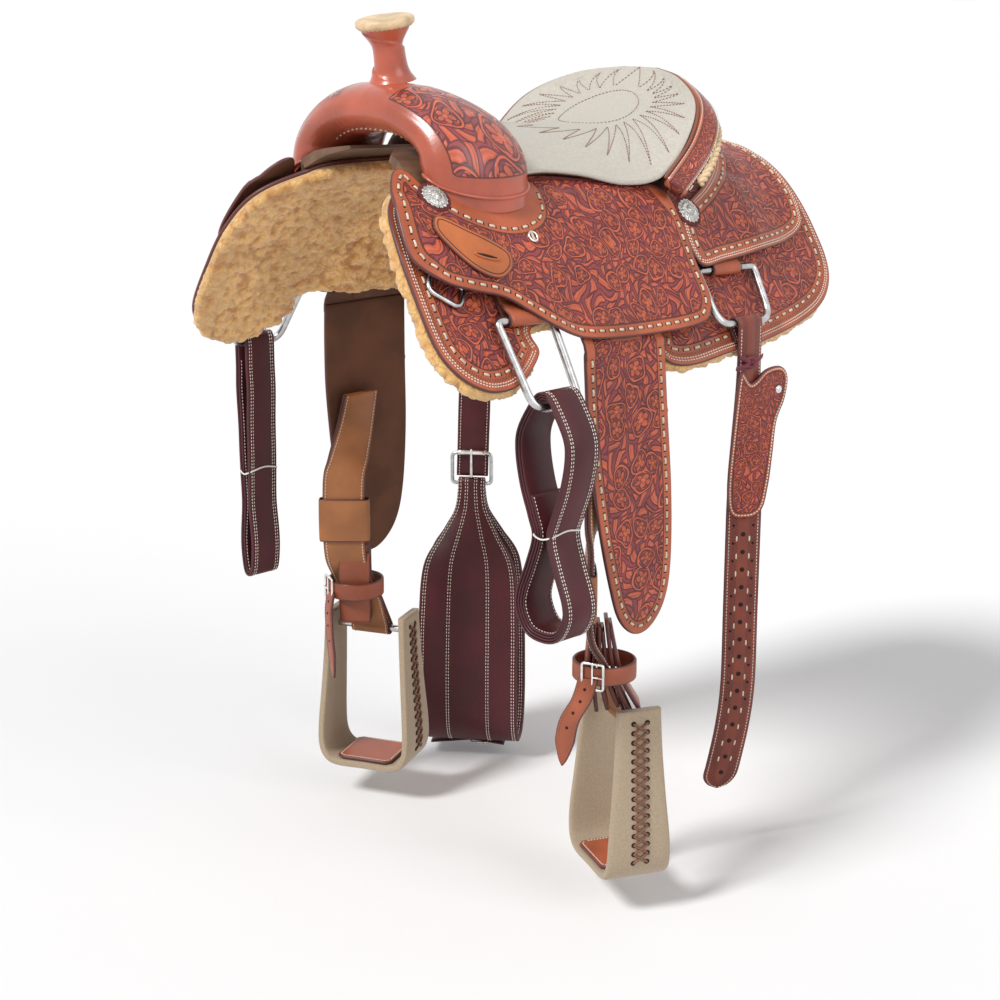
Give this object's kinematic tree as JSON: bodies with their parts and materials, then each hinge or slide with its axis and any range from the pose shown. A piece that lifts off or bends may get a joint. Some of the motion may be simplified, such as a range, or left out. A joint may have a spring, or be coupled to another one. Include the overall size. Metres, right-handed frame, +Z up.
{
  "type": "team roping saddle",
  "caption": "Western roping saddle with horn, dished suede seat, carved skirts and jockeys, fenders, bell stirrups and hanging straps.",
  "frame": {"origin": "on the centre plane, on the ridge of the rack that carries the saddle, half way along the skirts", "axes": "+X to the horse's left, the front of the saddle faces -Y, +Z up"},
  "size_m": [0.6603, 0.762, 1.0835],
  "materials": {
    "carved_leather": "carved, oiled",
    "plain_leather": "satin",
    "glossy_leather": "glossy",
    "latigo_leather": "satin",
    "seat_suede": "suede",
    "woolskin": "fleece",
    "rawhide": "hard, satin",
    "stainless_steel": "polished",
    "silver": "engraved",
    "tree_wood": "plain",
    "roughout_leather": "rough"
  },
  "bodies": {
    "saddle": {"cantle_back": "carved_leather", "cantle_braid": "rawhide", "cantle_roll": "carved_leather", "concho_front_left": "silver", "concho_front_right": "silver", "concho_rear_left": "silver", "concho_rear_right": "silver", "fleece_left": "woolskin", "fleece_right": "woolskin", "ground_seat": "plain_leather", "horn_cap": "rawhide", "horn_wrap": "glossy_leather", "latigo_keeper": "plain_leather", "rear_jockey_left": "carved_leather", "rear_jockey_right": "carved_leather", "rear_rigging_left": "plain_leather", "rear_rigging_right": "plain_leather", "rigging_front_left": "plain_leather", "rigging_front_right": "plain_leather", "seat_jockey_left": "carved_leather", "seat_jockey_right": "carved_leather", "seat_pad": "seat_suede", "skirt_left": "carved_leather", "skirt_right": "carved_leather", "swell_cover": "glossy_leather", "tree_bar_left": "tree_wood", "tree_bar_right": "tree_wood", "tree_cantle": "tree_wood", "tree_fork": "tree_wood", "tree_horn": "stainless_steel"},
    "front_dee_left": {"front_dee_left": "stainless_steel"},
    "rear_dee_left": {"rear_dee_left": "stainless_steel"},
    "breast_dee_left": {"breast_dee_left": "stainless_steel"},
    "leather_top_left": {"leather_top_left": "plain_leather"},
    "fender_left": {"fender_left": "carved_leather", "stirrup_leather_left": "plain_leather", "hobble_strap_left": "plain_leather"},
    "buckle_sleeve_left": {"buckle_sleeve_left": "plain_leather"},
    "stirrup_left": {"stirrup_left": "roughout_leather", "stirrup_tread_left": "plain_leather", "stirrup_bolt_left": "stainless_steel"},
    "front_dee_right": {"front_dee_right": "stainless_steel"},
    "rear_dee_right": {"rear_dee_right": "stainless_steel"},
    "breast_dee_right": {"breast_dee_right": "stainless_steel"},
    "leather_top_right": {"leather_top_right": "plain_leather"},
    "fender_right": {"fender_right": "carved_leather", "stirrup_leather_right": "plain_leather", "hobble_strap_right": "plain_leather"},
    "buckle_sleeve_right": {"buckle_sleeve_right": "plain_leather"},
    "stirrup_right": {"stirrup_right": "roughout_leather", "stirrup_tread_right": "plain_leather", "stirrup_bolt_right": "stainless_steel"},
    "latigo_left": {"latigo_left": "latigo_leather"},
    "off_billet_right": {"off_billet_right": "latigo_leather"},
    "rear_billet_left": {"rear_billet_left": "plain_leather", "rear_billet_keeper": "carved_leather"},
    "flank_billet_right": {"flank_billet_right": "latigo_leather"},
    "flank_buckle": {"flank_buckle": "stainless_steel"},
    "flank_buckle_tongue": {"flank_buckle_tongue": "stainless_steel"},
    "flank_cinch": {"flank_cinch": "latigo_leather"}
  },
  "joints": [
    {"name": "fender_swing_left", "type": "hinge", "parent": "saddle", "child": "leather_top_left", "pos_m": [0.23991, -0.046, 0.005], "axis": [1, 0, 0], "range_deg": [-4, 3]},
    {"name": "fender_lift_left", "type": "hinge", "parent": "leather_top_left", "child": "fender_left", "pos_m": [0.23991, -0.046, -0.1577], "axis": [0, -1, 0], "range_deg": [0, 85]},
    {"name": "sleeve_slide_left", "type": "slide", "parent": "fender_left", "child": "buckle_sleeve_left", "axis": [0, 0, 1], "range_m": [0, 0.02]},
    {"name": "stirrup_rock_left", "type": "hinge", "parent": "fender_left", "child": "stirrup_left", "pos_m": [0.238, -0.044, -0.63], "axis": [0.9063, -0.4226, 0], "range_deg": [-25, 10]},
    {"name": "front_dee_left", "type": "hinge", "parent": "saddle", "child": "front_dee_left", "pos_m": [0.22178, -0.207, -0.11068], "axis": [0.0018, -0.9993, 0.0387], "range_deg": [0, 6]},
    {"name": "rear_dee_left", "type": "hinge", "parent": "saddle", "child": "rear_dee_left", "pos_m": [0.20111, 0.18, -0.0945], "axis": [0.0085, -0.999, 0.0429], "range_deg": [0, 45]},
    {"name": "breast_dee_left", "type": "hinge", "parent": "saddle", "child": "breast_dee_left", "pos_m": [0.1886, -0.2935, -0.06089], "axis": [-0.3076, -0.8049, 0.5074], "range_deg": [0, 15]},
    {"name": "latigo_hang_left", "type": "hinge", "parent": "front_dee_left", "child": "latigo_left", "pos_m": [0.27845, -0.207, -0.20379], "axis": [0, -1, 0], "range_deg": [-4, 30]},
    {"name": "rear_billet_hang_left", "type": "hinge", "parent": "rear_dee_left", "child": "rear_billet_left", "pos_m": [0.2419, 0.176, -0.15861], "axis": [0, -1, 0], "range_deg": [0, 75]},
    {"name": "fender_swing_right", "type": "hinge", "parent": "saddle", "child": "leather_top_right", "pos_m": [-0.23991, -0.046, 0.005], "axis": [1, 0, 0], "range_deg": [-4, 3]},
    {"name": "fender_lift_right", "type": "hinge", "parent": "leather_top_right", "child": "fender_right", "pos_m": [-0.23991, -0.046, -0.1577], "axis": [0, 1, 0], "range_deg": [0, 85]},
    {"name": "sleeve_slide_right", "type": "slide", "parent": "fender_right", "child": "buckle_sleeve_right", "axis": [0, 0, 1], "range_m": [0, 0.02]},
    {"name": "stirrup_rock_right", "type": "hinge", "parent": "fender_right", "child": "stirrup_right", "pos_m": [-0.238, -0.044, -0.63], "axis": [0.9063, 0.4226, 0], "range_deg": [-25, 10]},
    {"name": "front_dee_right", "type": "hinge", "parent": "saddle", "child": "front_dee_right", "pos_m": [-0.22178, -0.207, -0.11068], "axis": [0.0018, 0.9993, -0.0387], "range_deg": [0, 6]},
    {"name": "rear_dee_right", "type": "hinge", "parent": "saddle", "child": "rear_dee_right", "pos_m": [-0.20111, 0.18, -0.0945], "axis": [0.0085, 0.999, -0.0429], "range_deg": [0, 45]},
    {"name": "breast_dee_right", "type": "hinge", "parent": "saddle", "child": "breast_dee_right", "pos_m": [-0.1886, -0.2935, -0.06089], "axis": [-0.3076, 0.8049, -0.5074], "range_deg": [0, 15]},
    {"name": "off_billet_hang_right", "type": "hinge", "parent": "front_dee_right", "child": "off_billet_right", "pos_m": [-0.27845, -0.207, -0.20379], "axis": [0, 1, 0], "range_deg": [-4, 30]},
    {"name": "flank_billet_hang_right", "type": "hinge", "parent": "rear_dee_right", "child": "flank_billet_right", "pos_m": [-0.2419, 0.176, -0.15861], "axis": [0, 1, 0], "range_deg": [0, 75]},
    {"name": "flank_buckle_turn", "type": "hinge", "parent": "flank_billet_right", "child": "flank_buckle", "pos_m": [-0.24636, 0.16127, -0.4125], "axis": [0.788, 0.6157, 0], "range_deg": [0, 5]},
    {"name": "flank_tongue_lift", "type": "hinge", "parent": "flank_buckle", "child": "flank_buckle_tongue", "pos_m": [-0.24636, 0.16127, -0.4585], "axis": [0.788, 0.6157, 0], "range_deg": [0, 60]},
    {"name": "flank_cinch_swing", "type": "hinge", "parent": "flank_buckle", "child": "flank_cinch", "pos_m": [-0.24636, 0.16127, -0.4585], "axis": [0.788, 0.6157, 0], "range_deg": [0, 12]}
  ]
}
